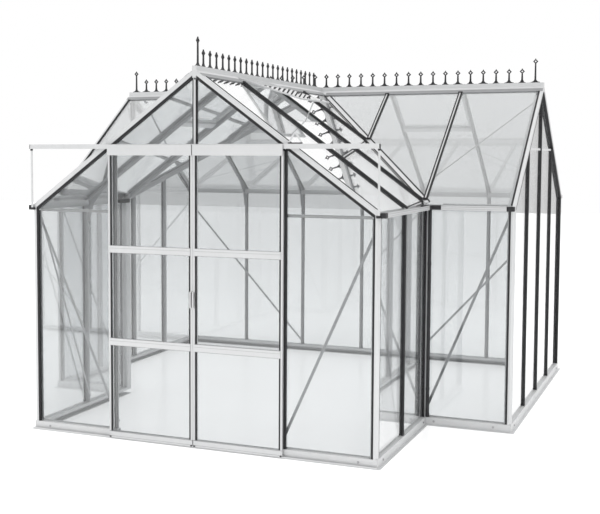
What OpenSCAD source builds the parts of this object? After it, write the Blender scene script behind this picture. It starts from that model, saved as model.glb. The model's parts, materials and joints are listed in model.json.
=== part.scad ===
// Glass greenhouse with a T-shaped plan: a porch with sliding doors runs into a cross wing.
// Millimetres. X runs across the doors, Y runs from the doors to the back, Z is up.
// The origin lies on the ground, under the middle of the whole outline.

/* [Plan and heights] */
// Spacing of the glazing bars, middle to middle
pitch = 622; // [480:1:800]
// Height of the steel base
base_h = 58; // [45:1:120]
// Height where the roof planes meet the outer faces of the walls
eave_h = 1608; // [1300:1:2100]
// Height of the ridge bar's top
ridge_h = 2568; // [2400:1:3200]

/* [Base and sills] */
// Reach of the base's foot beyond the grid line
foot_out = 60; // [55:1:90]
// Thickness of the base's folded steel
base_sheet = 4; // [2:0.5:6]
// Depth of the base and sills inside the grid line
base_in = 22; // [14:1:34]
// Depth of the base's turned-down inner lip
base_lip = 20; // [8:1:30]
// Thickness of the aluminium sections' thin walls
wall = 3; // [2:0.5:4]
// Height of the sill's upstand behind the glass
sill_up = 4; // [3:1:45]

/* [Glazing] */
// Thickness of the glass
glass_t = 4; // [3:0.5:6]
// Distance of the glass's inner face beyond the grid line
glass_in = 12; // [10:1:16]
// Gap between two panes at a bar
pane_gap = 12; // [8:0.5:16]
// Clearance at a pane's other edges
pane_fit = 0.3; // [0.2:0.1:1]
// Rubber bed under a wall pane
pane_bed = 2; // [1:0.5:4]
// Thin seal under the roof glass
roof_bed = 0.3; // [0.2:0.1:1]

/* [Bars and posts] */
// Width of a glazing bar's flange
flange_w = 30; // [24:1:40]
// Thickness of a glazing bar's flange
flange_t = 4; // [2:0.5:5]
// Thickness of a glazing bar's web
web_t = 8; // [4:0.5:12]
// Depth of a glazing bar's web behind its flange
web_d = 26; // [22:1:40]
// Width of the nib that stands between two panes
nib_w = 6; // [3:0.5:7]
// Outer faces of the posts and rakes beyond the grid line
face_out = 38; // [30:1:46]
// Reach of a corner post's face inside the grid line, beside the glass
post_in = -8; // [-9:0.5:12]
// Width of an inner corner post's lips behind the glass
post_lip = 20; // [12:1:28]
// Chamfer on a corner post's outer edge
post_chamfer = 16; // [6:1:22]

/* [Gutters and rakes] */
// Outer face of the gutters beyond the grid line
gutter_out = 74; // [62:1:95]
// Depth of the gutters below the eave height
gutter_d = 21; // [16:1:40]
// Height of the gutters' outer edge above the eave height
gutter_lip = 11; // [0:1:16]
// Position of the gutter's upright, which carries the roof glass
gutter_upright = 4; // [0:1:6]
// Length of each arm of the gutters' black corner piece
gutter_corner_l = 140; // [90:1:180]
// Height of a rake above the glass's underside
rake_over = 12; // [8:1:24]
// Depth of a rake below the glass's underside
rake_under = 25; // [20:1:50]
// Reach of the rake's seat inside the grid line
rake_in = 18; // [10:1:24]
// Room between a rake's outer leaf and the glass it covers
rake_fit = 0.5; // [0.3:0.1:1]
// Overhang of the roof glass past the grid line, over the gutter
roof_over = 22; // [14:1:34]

/* [Downpipes] */
// Outer diameter of a downpipe
pipe_d = 26; // [20:1:32]
// Thickness of a downpipe's wall
pipe_wall = 2; // [1:0.5:4]
// Distance of a downpipe's middle beyond the porch's side
pipe_across = 56; // [54:1:80]
// Distance of a downpipe's middle in front of the wing
pipe_out = 53; // [52:1:56]
// Height of a downpipe's lower end
pipe_z = 70; // [66:1:300]

/* [Ridge] */
// Height of the ridge bar above the meeting point of the glass undersides
ridge_lift = 30; // [20:1:45]
// Half of the width of the ridge bar's web
ridge_half = 14; // [10:1:20]
// Reach of the ridge bar's skirts over the glass
ridge_skirt = 66; // [40:1:90]
// Thickness of the ridge bar's skirts
skirt_t = 3; // [2:0.5:5]
// Width of the valley bars
valley_w = 60; // [44:1:80]
// Room between two roof panes at a valley
valley_gap = 16; // [8:1:24]

/* [Cresting] */
// Spacing of the spears along the ridge
spear_pitch = 104.8; // [90:0.1:130]
// Height of a spear above the ridge bar
spear_h = 118; // [80:1:160]
// Height of a finial above the ridge bar
finial_h = 195; // [150:1:240]
// Height of the strip that the spears stand on
crest_strip = 4; // [3:0.5:10]
// Thickness of the cresting
crest_t = 8; // [4:0.5:10]
// Width of a spear's stem
spear_w = 10; // [6:0.5:12]
// Height of a spear's diamond head
head_h = 32; // [24:1:40]
// Half of the width of a spear's foot
foot_half = 38; // [20:1:48]
// Height of a spear's foot where it meets the stem
foot_rise = 20; // [12:1:30]

/* [Roof vents] */
// Length of a roof vent down the slope
vent_l = 508; // [400:1:600]
// Angle by which the right porch vent stands open
vent_open = 18; // [0:1:30]
// Width of a vent frame's bars
vent_bar = 22; // [16:1:30]
// Depth of a vent frame's bars
vent_d = 12; // [9:1:18]
// Clearance around a vent
vent_fit = 6; // [4:0.5:8]
// Width of the sill under a vent's lower edge
vent_sill_w = 36; // [26:1:50]

/* [Braces and plates] */
// Width of the flat braces
brace_w = 20; // [12:1:30]
// Thickness of the flat braces
brace_t = 2; // [1.5:0.5:4]
// Width of the thin roof straps
strap_w = 10; // [6:1:16]
// Thickness of the knee plates
knee_t = 3; // [2:0.5:5]
// Length of a knee plate down a wall bar
knee_down = 120; // [80:1:200]
// Length of a knee plate along a rafter
knee_up = 130; // [80:1:200]

/* [Doors] */
// Height of the door rail's underside
rail_z = 2018; // [1900:1:2030]
// Height of the door rail
rail_h = 32; // [26:1:44]
// Depth of the door rail, front to back
rail_d = 20; // [16:1:28]
// Half of the length of the door rail
rail_half = 1284; // [1100:1:1400]
// Width of one door leaf
leaf_w = 643; // [520:1:700]
// Thickness of a door leaf
leaf_t = 22; // [16:1:30]
// Clearance between a door leaf and the gable behind it
leaf_clear = 6; // [5:0.5:12]
// Gap between the two closed leaves
leaf_gap = 6; // [5:0.5:10]
// Gap between the leaves' undersides and the ground
leaf_lift = 12; // [10:0.5:20]
// Width of a door stile
stile_w = 26; // [18:1:40]
// Width of a stile's full-depth outer part
stile_edge = 13; // [8:1:16]
// Step down from it to the stile's inner part
stile_step = 8; // [2:0.5:8]
// Height of a door's bottom rail
foot_rail_h = 44; // [34:1:60]
// Height of a door's middle rails
mid_rail_h = 50; // [36:1:70]
// Height of the middle of the lower middle rail
mid_low_z = 686; // [560:1:800]
// Height of the middle of the upper middle rail
mid_high_z = 1330; // [1150:1:1500]
// Proud face of a door's middle rails
mid_proud = 5; // [3:0.5:7]
// Height of a door's top rail
top_rail_h = 32; // [24:1:44]
// Gap between a door's top rail and the door rail above it
hang_gap = 12; // [8:0.5:20]
// Height of the fascia on a door
fascia_h = 72; // [60:1:90]
// Thickness of the fascia
fascia_t = 4; // [3:0.5:6]
// Clearance between the fascia and the door rail
fascia_clear = 6; // [5:0.5:12]
// Height of the door header
header_h = 50; // [36:1:60]
// Radius of a door roller
roller_r = 9; // [6:0.5:11]
// Running clearance under a roller
roller_fit = 0.3; // [0.1:0.1:0.5]
// Length of a door handle
handle_l = 112; // [80:1:180]
// Height of the middle of the door handles
handle_z = 1010; // [850:1:1200]
// Thickness of the bottom guide's rib
guide_t = 4; // [3:0.5:6]
// Clearance on each side of the guide's rib
guide_clear = 6; // [5:0.5:7]

/* [Hidden] */

$fn = 32;
big = 9000;

// Plan: the porch is two bays each side of the middle, the wing three, and both gables span four.
half = 2 * pitch;
wing = 3 * pitch;
cross_y = 4 * pitch;
back_y = 6 * pitch;

// Levels out from the grid line.
glass_out = glass_in + glass_t;
flange_in = glass_in - flange_t;
web_in = flange_in - web_d;
post_deep = -web_in;
sill_end = max(post_deep, base_in + pane_fit);

// Roof planes: the height of the glass underside at a distance u from the ridge line.
slope = (ridge_h - ridge_lift - eave_h) / (half + face_out);
lean = sqrt(1 + slope * slope);
angle = atan(slope);
function under(u) = ridge_h - ridge_lift - slope * u;
flange_v = flange_t * lean;
glass_v = glass_t * lean;
bed_v = roof_bed * lean;
web_v = (flange_t + web_d) * lean;

// Heights up the walls.
sill_top = base_h + wall;
upstand_top = sill_top + sill_up;
gutter_z = eave_h - gutter_d;
gutter_top = eave_h + gutter_lip;
corner_top = min(gutter_top, under(half + roof_over) - pane_fit);
post_top = gutter_z - wall;
pane_z = sill_top + pane_bed;
ridge_bottom = under(ridge_half) - web_v - wall;
bar_top = ridge_bottom - pane_fit;

// Doors.
leaf_in = face_out + leaf_clear;
leaf_out = leaf_in + leaf_t;
leaf_mid = leaf_in + leaf_t / 2;
leaf_x0 = leaf_gap / 2;
leaf_x1 = leaf_x0 + leaf_w;
rail_in = leaf_mid + 3 - rail_d / 2;
rail_out = rail_in + rail_d;
rail_mid = rail_in + rail_d / 2;
rail_wall = 2.5;
rail_slot = 8;
leaf_top = rail_z - hang_gap;
top_rail_z = leaf_top - top_rail_h;
fascia_in = rail_out + fascia_clear;
fascia_out = fascia_in + fascia_t;
foot_rail_top = leaf_lift + foot_rail_h;
handle_out = leaf_out + 20;
header_top = rail_z + 26;
roller_z = rail_z + rail_wall + roller_fit + roller_r;

// The outline's middle: the handles reach furthest forward and the back gutter furthest back.
shift_y = (max(handle_out, fascia_out) - back_y - gutter_out) / 2;

// Spears and finials along the ridges.
finial_at = floor(wing / spear_pitch - 0.25) + 0.5;
finial_y = 18;

alu = [0.80, 0.81, 0.82];
steel = [0.72, 0.73, 0.74];
black = [0.06, 0.06, 0.07];
clear = [0.75, 0.86, 0.84, 0.35];

// ---- Placing ----

module centred() {
    translate([0, shift_y, 0]) children();
}

module both() {
    children();
    mirror([1, 0, 0]) children();
}

// A wall's own frame: +X along the wall, -Y outwards.
module front_wall() {
    translate([-half, 0, 0]) children();
}

module porch_side() {
    translate([half, 0, 0]) rotate(90) children();
}

module notch_wall() {
    translate([half, half, 0]) children();
}

module wing_end() {
    translate([wing, half, 0]) rotate(90) children();
}

module back_wall() {
    translate([wing, back_y, 0]) rotate(180) children();
}

// A section drawn as [outwards, up], run along the wall from x0 to x1.
module run(x0, x1, points) {
    translate([x0, 0, 0])
        rotate([90, 0, 90])
            linear_extrude(x1 - x0)
                polygon([for (p = points) [-p[0], p[1]]]);
}

// A block between two distances along the wall, two out from it and two heights.
module block(x0, x1, n0, n1, z0, z1) {
    translate([x0, -n1, z0]) cube([x1 - x0, n1 - n0, z1 - z0]);
}

// Keeps what lies under a gable's slopes, drop below the glass underside.
module under_gable(drop) {
    intersection() {
        children();
        translate([half, big / 2, 0])
            rotate([90, 0, 0])
                linear_extrude(big)
                    polygon([
                        [-half - 200, 0], [half + 200, 0], [half + 200, under(half + 200) - drop],
                        [0, under(0) - drop], [-half - 200, under(half + 200) - drop]]);
    }
}

// A layer of a roof plane, from low to high above the glass underside, u0 to u1 from the
// ridge and along the ridge from s0 to s1. It falls towards +X, with the ridge along Y.
module slope_layer(s0, s1, u0, u1, low, high) {
    translate([0, s1, 0])
        rotate([90, 0, 0])
            linear_extrude(s1 - s0)
                polygon([
                    [u0, under(u0) + low], [u1, under(u1) + low],
                    [u1, under(u1) + high], [u0, under(u0) + high]]);
}

// Turns the porch's right slope into the wing's front or back slope.
module wing_front_slope() {
    translate([0, cross_y, 0]) rotate(-90) children();
}

module wing_back_slope() {
    translate([0, cross_y, 0]) rotate(90) children();
}

// ---- Base and sills ----

base_section = [
    [-base_in, 0], [foot_out, 0], [foot_out, base_sheet], [face_out, base_sheet],
    [face_out, base_h], [-base_in, base_h], [-base_in, base_h - base_lip],
    [base_sheet - base_in, base_h - base_lip], [base_sheet - base_in, base_h - base_sheet],
    [face_out - base_sheet, base_h - base_sheet], [face_out - base_sheet, base_sheet],
    [-base_in, base_sheet]];

// One length of base with mitred ends: turn is 1 at an outer corner and -1 at an inner one.
module base_run(length, turn0, turn1) {
    reach = foot_out + 40;
    intersection() {
        run(-reach, length + reach, base_section);
        linear_extrude(base_h)
            polygon([
                [-turn0 * reach, -reach], [length + turn1 * reach, -reach],
                [length - turn1 * reach, reach], [turn0 * reach, reach]]);
    }
}

// The front run is cut down behind its outer sheet between the door jambs, as a threshold.
module base_front() {
    gap = pitch + flange_w / 2 + 1;
    color(steel) centred() front_wall() difference() {
        base_run(2 * half, 1, 1);
        block(gap, 2 * half - gap, -base_in - 1, face_out - base_sheet, base_sheet, base_h + 1);
    }
}

module base_sides() {
    color(steel) centred() both() {
        porch_side() base_run(half, 1, -1);
        wing_end() base_run(2 * half, 1, 1);
    }
}

module base_notches() {
    color(steel) centred() both() notch_wall() base_run(pitch, -1, 1);
}

module base_back() {
    color(steel) centred() back_wall() base_run(2 * wing, 1, 1);
}

module sill_run(x0, x1) {
    run(x0, x1, [
        [-base_in, base_h], [glass_out + 4, base_h], [glass_out + 4, sill_top],
        [glass_in, sill_top], [glass_in, upstand_top], [flange_in, upstand_top],
        [flange_in, sill_top], [-base_in, sill_top]]);
}

inner_deep = face_out + post_lip;

module sills() {
    color(alu) centred() {
        both() {
            front_wall() sill_run(sill_end, pitch - web_t / 2);
            porch_side() sill_run(sill_end, half - inner_deep);
            notch_wall() sill_run(inner_deep, pitch - sill_end);
            wing_end() sill_run(sill_end, 2 * half - sill_end);
        }
        back_wall() sill_run(sill_end, 2 * wing - sill_end);
    }
}

// ---- Posts and bars ----

module outer_post() {
    a = -post_in;
    b = -post_deep;
    c = face_out - post_chamfer;
    translate([0, 0, base_h])
        linear_extrude(post_top - base_h)
            polygon([
                [c, -face_out], [a, -face_out], [a, -glass_in], [b, -glass_in],
                [b, -flange_in], [flange_in, -flange_in], [flange_in, -b], [glass_in, -b],
                [glass_in, -a], [face_out, -a], [face_out, -c]]);
}

module inner_post() {
    f = face_out;
    e = inner_deep;
    translate([0, 0, base_h])
        linear_extrude(gutter_z - base_h)
            polygon([
                [-base_in, base_in], [-base_in, -f], [flange_in, -f], [flange_in, -e],
                [glass_in, -e], [glass_in, -f], [f, -f], [f, -glass_in], [e, -glass_in],
                [e, -flange_in], [f, -flange_in], [f, base_in]]);
}

module corner_posts() {
    color(alu) centred() both() {
        translate([half, 0, 0]) outer_post();
        translate([half, half, 0]) inner_post();
        translate([wing, half, 0]) outer_post();
        translate([wing, back_y, 0]) mirror([0, 1, 0]) outer_post();
    }
}

// A glazing bar in a wall, with its middle at x.
module wall_bar(x, top) {
    block(x - web_t / 2, x + web_t / 2, web_in, flange_in, sill_top, top);
    block(x - flange_w / 2, x + flange_w / 2, flange_in, glass_in, upstand_top, top);
    block(x - nib_w / 2, x + nib_w / 2, glass_in, glass_out, sill_top, top);
}

// A glazing bar that runs up into a gable's rakes from the height z0.
module gable_bar(x, z0) {
    under_gable(rake_under) {
        union() {
            w0 = max(z0, upstand_top);
            block(x - web_t / 2, x + web_t / 2, web_in, flange_in, z0, bar_top);
            block(x - flange_w / 2, x + flange_w / 2, flange_in, glass_in, w0, bar_top);
            block(x - nib_w / 2, x + nib_w / 2, glass_in, glass_out, z0, bar_top);
        }
    }
}

module door_jambs() {
    color(alu) centred() both() front_wall() gable_bar(pitch, base_h);
}

module door_header() {
    reach = pitch - flange_w / 2;
    color(alu) centred()
        translate([-reach, -face_out, header_top - header_h])
            cube([2 * reach, face_out + 14, header_h]);
}

// The bar up to the ridge, and the light rails that split the side panes at the eaves.
module front_gable_bars() {
    color(alu) centred() {
        front_wall() gable_bar(half, header_top);
        both() front_wall() {
            block(post_deep, pitch - flange_w / 2, flange_in - 14, glass_in,
                eave_h - 32, eave_h - 12);
        }
    }
}

module porch_side_bars() {
    color(alu) centred() both() porch_side() wall_bar(pitch, gutter_z);
}

module wing_end_bars() {
    color(alu) centred() both() wing_end() for (i = [1 : 3]) gable_bar(i * pitch, sill_top);
}

module back_wall_bars() {
    color(alu) centred() back_wall() for (i = [1 : 5]) wall_bar(i * pitch, gutter_z);
}

// ---- Gutters and rakes ----

module gutter_run(x0, x1) {
    u0 = gutter_upright;
    u1 = u0 + flange_t;
    run(x0, x1, [
        [-base_in, gutter_z], [gutter_out, gutter_z], [gutter_out, gutter_top],
        [gutter_out - wall, gutter_top], [gutter_out - wall, gutter_z + wall],
        [u1, gutter_z + wall], [u1, under(half + u1)], [u0, under(half + u0)],
        [u0, gutter_z + wall], [-base_in, gutter_z + wall]]);
}

module gutters() {
    color(alu) centred() {
        both() {
            porch_side() gutter_run(rake_in, half - gutter_corner_l);
            notch_wall() gutter_run(gutter_corner_l, pitch - rake_in);
        }
        back_wall() gutter_run(rake_in, 2 * wing - rake_in);
    }
}

// The piece that joins the two gutters at the right inner corner.
module corner_piece(z0) {
    translate([half, half, 0])
        block(-base_in, gutter_corner_l, -base_in, gutter_out, z0, corner_top);
    porch_side()
        block(half - gutter_corner_l, half, -base_in, gutter_out, z0, corner_top);
}

// A cap that closes a gutter's end, from x0 to x1 along its wall.
module gutter_cap(x0, x1) {
    block(x0, x1, face_out, gutter_out, gutter_z - 2, gutter_top);
}

module gutter_caps() {
    color(black) centred() {
        both() {
            porch_side() gutter_cap(-face_out, rake_in);
            corner_piece(gutter_z);
            notch_wall() gutter_cap(pitch - rake_in, pitch + face_out);
            back_wall() gutter_cap(-face_out, rake_in);
        }
    }
}

module downpipes() {
    top = gutter_z - pane_fit;
    color(black) centred() both()
        translate([half + pipe_across, half - pipe_out, pipe_z])
            difference() {
                cylinder(d = pipe_d, h = top - pipe_z);
                translate([0, 0, -1]) cylinder(d = pipe_d - 2 * pipe_wall, h = top - pipe_z + 2);
            }
}

// One rake on a gable's right half, drawn in the gable wall's frame about its middle.
module rake() {
    u0 = ridge_half;
    u1 = half + face_out;
    us = ridge_skirt + pane_fit;
    tab = half - post_in;
    outer = glass_out + rake_fit;
    rotate([90, 0, 0]) {
        translate([0, 0, outer]) linear_extrude(face_out - outer) polygon([
            [u0, under(u0) + glass_v], [us, under(us) + glass_v],
            [us, under(us) + rake_over], [u1, under(u1) + rake_over], [u1, post_top],
            [tab, post_top], [tab, under(tab) - rake_under], [u0, under(u0) - rake_under]]);
        translate([0, 0, -rake_in]) linear_extrude(rake_in + face_out) polygon([
            [u0, under(u0)], [u1, under(u1)], [u1, under(u1) - flange_v],
            [u0, under(u0) - flange_v]]);
        translate([0, 0, flange_in]) linear_extrude(flange_t) polygon([
            [u0, under(u0)], [tab, under(tab)], [tab, under(tab) - rake_under],
            [u0, under(u0) - rake_under]]);
    }
}

module front_rakes() {
    color(alu) centred() both() rake();
}

module wing_rakes() {
    color(alu) centred() both() wing_end() translate([half, 0, 0]) both() rake();
}

// ---- Ridge and valleys ----

module ridge_section() {
    a = ridge_half;
    b = ridge_skirt;
    low = bed_v + glass_v + 0.5;
    high = low + skirt_t * lean;
    right = [
        [a + 2, ridge_h], [a + 2, under(a + 2) + high], [b, under(b) + high],
        [b, under(b) + low], [a, under(a) + low], [a, ridge_bottom]];
    left = [for (i = [len(right) - 1 : -1 : 0]) [-right[i][0], right[i][1]]];
    polygon(concat(right, left));
}

// The wedge of ground between the two valleys near where the ridges meet.
module ridge_wedge() {
    a = ridge_half + 2;
    b = ridge_skirt + 1;
    linear_extrude(ridge_h)
        polygon([[-a, cross_y - a], [a, cross_y - a], [b, cross_y - b], [-b, cross_y - b]]);
}

// Leaves room in a ridge bar's skirts for the vents, on the given sides.
module vent_notch(s, sides) {
    for (k = sides)
        translate([k > 0 ? ridge_half + 2 : -big, s - vent_half - vent_fit / 2, under(ridge_skirt)])
            cube([big - (k > 0 ? 0 : ridge_half + 2), 2 * vent_half + vent_fit, big]);
}

module porch_ridge() {
    end_y = cross_y - ridge_half - 2;
    color(alu) centred() difference() {
        translate([0, end_y, 0])
            rotate([90, 0, 0])
                linear_extrude(end_y + face_out)
                    ridge_section();
        both()
            linear_extrude(ridge_h)
                polygon([[ridge_half + 2, cross_y - ridge_half - 2], [big, cross_y - big],
                    [big, cross_y]]);
        vent_notch(1.5 * pitch, [-1, 1]);
    }
}

module cross_ridge() {
    color(alu) centred() difference() {
        translate([-wing - face_out, cross_y, 0])
            rotate([90, 0, 90])
                linear_extrude(2 * (wing + face_out))
                    ridge_section();
        ridge_wedge();
        for (s = [-1.5, 1.5]) wing_back_slope() vent_notch(s * pitch, [1]);
    }
}

// The strip of ground under the right valley, of the given width.
module valley_plan(width) {
    k = width / 2 * sqrt(2);
    reach = half + 60;
    linear_extrude(ridge_h)
        polygon([[-k, cross_y], [0, cross_y - k], [reach, cross_y - reach - k],
            [reach, cross_y - reach + k], [k, cross_y], [0, cross_y + k]]);
}

module valley_bar() {
    difference() {
        union() {
            intersection() {
                valley_plan(valley_w);
                union() {
                    porch_side_of_valley(0)
                        slope_layer(0, cross_y, 0, half + 30, -flange_v, 0);
                    wing_side_of_valley(0) wing_front_slope()
                        slope_layer(0, cross_y, 0, half + 30, -flange_v, 0);
                }
                valley_keep();
            }
            intersection() {
                valley_plan(web_t);
                union() {
                    porch_side_of_valley(0)
                        slope_layer(0, cross_y, 0, half + 30, -web_v, -1);
                    wing_side_of_valley(0) wing_front_slope()
                        slope_layer(0, cross_y, 0, half + 30, -web_v, -1);
                }
                valley_keep();
            }
        }
        corner_piece(0);
    }
}

// Clips the valley bar at the two ridge bars and at the gutter's corner piece.
module valley_keep() {
    translate([ridge_half, half - 20, 0])
        cube([half - ridge_half + 20, half - ridge_half + 20, ridge_h]);
}

module valley_bars() {
    color(alu) centred() both() valley_bar();
}

// ---- Rafters ----

// A rafter on the porch's right slope, with its middle at y = s, down to the gutter's upright.
module rafter(s) {
    u1 = half + gutter_upright;
    slope_layer(s - flange_w / 2, s + flange_w / 2, ridge_half, u1, -flange_v, 0);
    slope_layer(s - web_t / 2, s + web_t / 2, ridge_half, half - base_in - 1, -web_v, -1);
    slope_layer(s - nib_w / 2, s + nib_w / 2, ridge_skirt, u1, -1, glass_v);
}

// What lies on the porch's side of the right valley, clear of the valley bar.
module porch_side_of_valley(width) {
    k = width / 2 * sqrt(2);
    intersection() {
        children();
        linear_extrude(ridge_h)
            polygon([[0, cross_y - k], [half + 400, cross_y - half - 400 - k],
                [half + 400, -400], [0, -400]]);
    }
}

// What lies on the wing's side of the right valley, clear of the valley bar.
module wing_side_of_valley(width) {
    k = width / 2 * sqrt(2);
    intersection() {
        children();
        linear_extrude(ridge_h)
            polygon([[0, cross_y + k], [k, cross_y], [half + 400, cross_y - half - 400 + k],
                [wing + 400, cross_y - half - 400 + k], [wing + 400, cross_y + k]]);
    }
}

module porch_rafters() {
    color(alu) centred() both() {
        rafter(pitch);
        for (i = [2, 3]) porch_side_of_valley(valley_w + 1) rafter(i * pitch);
    }
}

module wing_rafters() {
    color(alu) centred() both()
        for (i = [1, 2]) wing_side_of_valley(valley_w + 1) wing_front_slope() rafter(i * pitch);
}

module back_rafters() {
    color(alu) centred() for (i = [-2 : 2]) wing_back_slope() rafter(i * pitch);
}

// ---- Plates, braces and ties ----

// A knee plate beside the porch's right rafter at y = s and the wall bar under it.
module knee_plate(s) {
    u0 = half - base_in - 1;
    u1 = half + web_in + 8;
    u2 = u0 - knee_up;
    low = gutter_z - knee_down;
    translate([0, s + web_t / 2 + knee_t, 0])
        rotate([90, 0, 0])
            linear_extrude(knee_t)
                polygon([
                    [u1, low], [u1, gutter_z - 1], [u0, gutter_z - 1],
                    [u0, under(u0) - 2 * flange_v], [u2, under(u2) - 2 * flange_v],
                    [u2, under(u2) - web_v + 2], [u0 - knee_up / 3, under(u0) - web_v - 8],
                    [u0 - 5, low]]);
}

module knee_plates() {
    color(alu) centred() {
        both() knee_plate(pitch);
        for (i = [-2 : 2]) wing_back_slope() knee_plate(i * pitch);
    }
}

// A flat brace with its outer face at n, between two points on that wall, cut off at low and high.
module brace(x0, z0, x1, z1, n, low, high) {
    run_l = sqrt((x1 - x0) * (x1 - x0) + (z1 - z0) * (z1 - z0));
    intersection() {
        translate([x0, -n, z0])
            rotate([0, -atan2(z1 - z0, x1 - x0), 0])
                translate([-brace_w / 2, 0, -brace_w / 2])
                    cube([run_l + 2 * brace_w, brace_t, brace_w]);
        block(low, high, n - brace_t, n, 0, post_top);
    }
}

module wall_braces() {
    z0 = sill_top + 49;
    end = 1 - glass_in;
    color(alu) centred() both() {
        front_wall() brace(pitch, z0, 0, post_top - 80, web_in, end, pitch + web_t / 2);
        porch_side() brace(pitch, z0, 0, post_top - 80, web_in, end, pitch + web_t / 2);
        back_wall() brace(2 * pitch, z0, 0, post_top - 110, web_in, end, 2 * pitch + web_t / 2);
        notch_wall() brace(face_out, z0 + 10, pitch, post_top - 34,
            flange_in, inner_edge, pitch + flange_in - pane_fit);
    }
}

// A thin strap under the rafters of the wing's end bays, front and back.
module roof_strap() {
    x0 = half;
    x1 = wing - 6;
    v0 = half - 300;
    v1 = 120;
    turn = atan2(v1 - v0, x1 - x0);
    intersection() {
        wing_front_slope()
            slope_layer(0, wing, ridge_half, half, -web_v - brace_t * lean, -web_v);
        translate([x0, cross_y - v0, 0])
            rotate(-turn)
                translate([-6, -strap_w / 2, 0])
                    cube([(x1 - x0) / cos(turn) + 6, strap_w, ridge_h]);
    }
}

module roof_straps() {
    color(alu) centred() both() roof_strap();
}

module end_ties() {
    color(alu) centred() both() wing_end() under_gable(rake_under + 1)
        block(pitch - 15, 3 * pitch + 15, glass_out, glass_out + 6, header_top - 24, header_top - 6);
}

// ---- Roof vents ----

// Distance from the ridge line to the sill under a closed vent.
vent_u0 = ridge_half + 2 + vent_fit;
vent_u1 = vent_u0 + vent_l / lean;
sill_u = vent_u1 - 8;
vent_pane_u = vent_u1 + vent_d;
vent_half = (pitch - pane_gap - vent_fit) / 2;

module vent_sill() {
    m = pitch / 2;
    reach = (pitch - flange_w) / 2;
    slope_layer(m - reach, m + reach, sill_u, sill_u + vent_sill_w, -flange_v * 3, -pane_fit);
}

// A vent in the slope's own plane: x down the slope from its hinge, z up from the glass.
module vent_frame() {
    b = vent_bar;
    difference() {
        translate([0, -vent_half, 0]) cube([vent_l, 2 * vent_half, vent_d]);
        translate([b, b - vent_half, -1]) cube([vent_l - 2 * b, 2 * (vent_half - b), vent_d + 2]);
        translate([b - 8, b - 8 - vent_half, vent_d - glass_t - pane_fit])
            cube([vent_l - 2 * b + 16, 2 * (vent_half - b + 8), glass_t + 1]);
    }
}

module vent_pane() {
    e = vent_bar - 8 + pane_fit;
    translate([e, e - vent_half, vent_d - glass_t])
        cube([vent_l - 2 * e, 2 * (vent_half - e), glass_t]);
}

// Puts a vent on the porch's right slope in the bay whose first rafter is at y = s.
module hung(s, opened) {
    translate([vent_u0, s + pitch / 2, under(vent_u0) + pane_fit * lean])
        rotate([0, angle - opened, 0])
            children();
}

module vent_sills() {
    color(alu) centred() {
        both() translate([0, pitch, 0]) vent_sill();
        for (s = [-2, 1]) wing_back_slope() translate([0, s * pitch, 0]) vent_sill();
    }
}

module vent_places() {
    hung(pitch, vent_open) children();
    mirror([1, 0, 0]) hung(pitch, 0) children();
    for (s = [-2, 1]) wing_back_slope() hung(s * pitch, 0) children();
}

module vent_frames() {
    color(alu) centred() vent_places() vent_frame();
}

module vent_glass() {
    color(clear) centred() vent_places() vent_pane();
}

// The stay that holds the open vent: a bar from the sill to the vent's lower edge.
module vent_stay() {
    foot = sill_u + 2;
    a = angle - vent_open;
    tip = [for (l = [vent_l - 16, vent_l - 8])
        [vent_u0 + l * cos(a), under(vent_u0) + pane_fit * lean - l * sin(a) - pane_fit]];
    color(alu) centred()
        translate([0, 1.5 * pitch + 5, 0])
            rotate([90, 0, 0])
                linear_extrude(10)
                    polygon([[foot, under(foot) + pane_fit], [foot + 5, under(foot + 5) + pane_fit],
                        tip[1], tip[0]]);
}

// ---- Cresting ----

module spear(x, height) {
    r = head_h / 2;
    top = height - r;
    translate([x, 0]) {
        difference() {
            union() {
                translate([-spear_w / 2, 0]) square([spear_w, top]);
                translate([0, top]) rotate(45) square(r * sqrt(2), center = true);
            }
            translate([0, top]) rotate(45) square(r * 0.62, center = true);
        }
        polygon([[-foot_half, 0], [foot_half, 0], [foot_half, crest_strip],
            [spear_w / 2, foot_rise], [-spear_w / 2, foot_rise], [-foot_half, crest_strip]]);
    }
}

module crest_row(x0, x1, places) {
    linear_extrude(crest_t) {
        translate([x0, 0]) square([x1 - x0, crest_strip]);
        for (x = places) spear(x, spear_h);
    }
}

module ridge_cresting() {
    last = (finial_at - 1) * spear_pitch;
    end = last + spear_pitch - foot_half - 1;
    front_last = cross_y - 40;
    color(black) centred() {
        translate([0, cross_y + crest_t / 2, ridge_h])
            rotate([90, 0, 0])
                crest_row(-end, end,
                    [for (x = [-last : spear_pitch : last + 1]) x]);
        translate([-crest_t / 2, 0, ridge_h])
            rotate([90, 0, 90])
                crest_row(finial_y + foot_half + 1, front_last,
                    [for (y = [spear_pitch : spear_pitch : front_last - foot_half]) y]);
    }
}

module finial() {
    rotate([90, 0, 0])
        translate([0, 0, -crest_t / 2])
            linear_extrude(crest_t)
                spear(0, finial_h);
}

module gable_finials() {
    color(black) centred() {
        translate([0, finial_y, ridge_h]) rotate(90) finial();
        both() translate([finial_at * spear_pitch, cross_y, ridge_h]) finial();
    }
}

// ---- Glass ----

// A wall pane in the bay that starts at x0 and ends at x1, between two heights.
module wall_pane(x0, x1, z0, z1) {
    block(x0, x1, glass_in, glass_out, z0, z1);
}

edge = pane_gap / 2;
end_edge = post_in + pane_fit;
inner_edge = face_out + pane_fit;
pane_top = gutter_z - pane_fit;
rake_edge = flange_v + pane_fit;

module front_glass() {
    split = eave_h - 22;
    x1 = pitch - edge;
    color(clear) centred() {
        both() front_wall() {
            wall_pane(end_edge, x1, pane_z, split - 2);
            under_gable(rake_edge) wall_pane(end_edge, x1, split + 2, ridge_h);
            under_gable(rake_edge)
                wall_pane(pitch + edge, half - edge, header_top + pane_fit, ridge_bottom);
        }
    }
}

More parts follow.
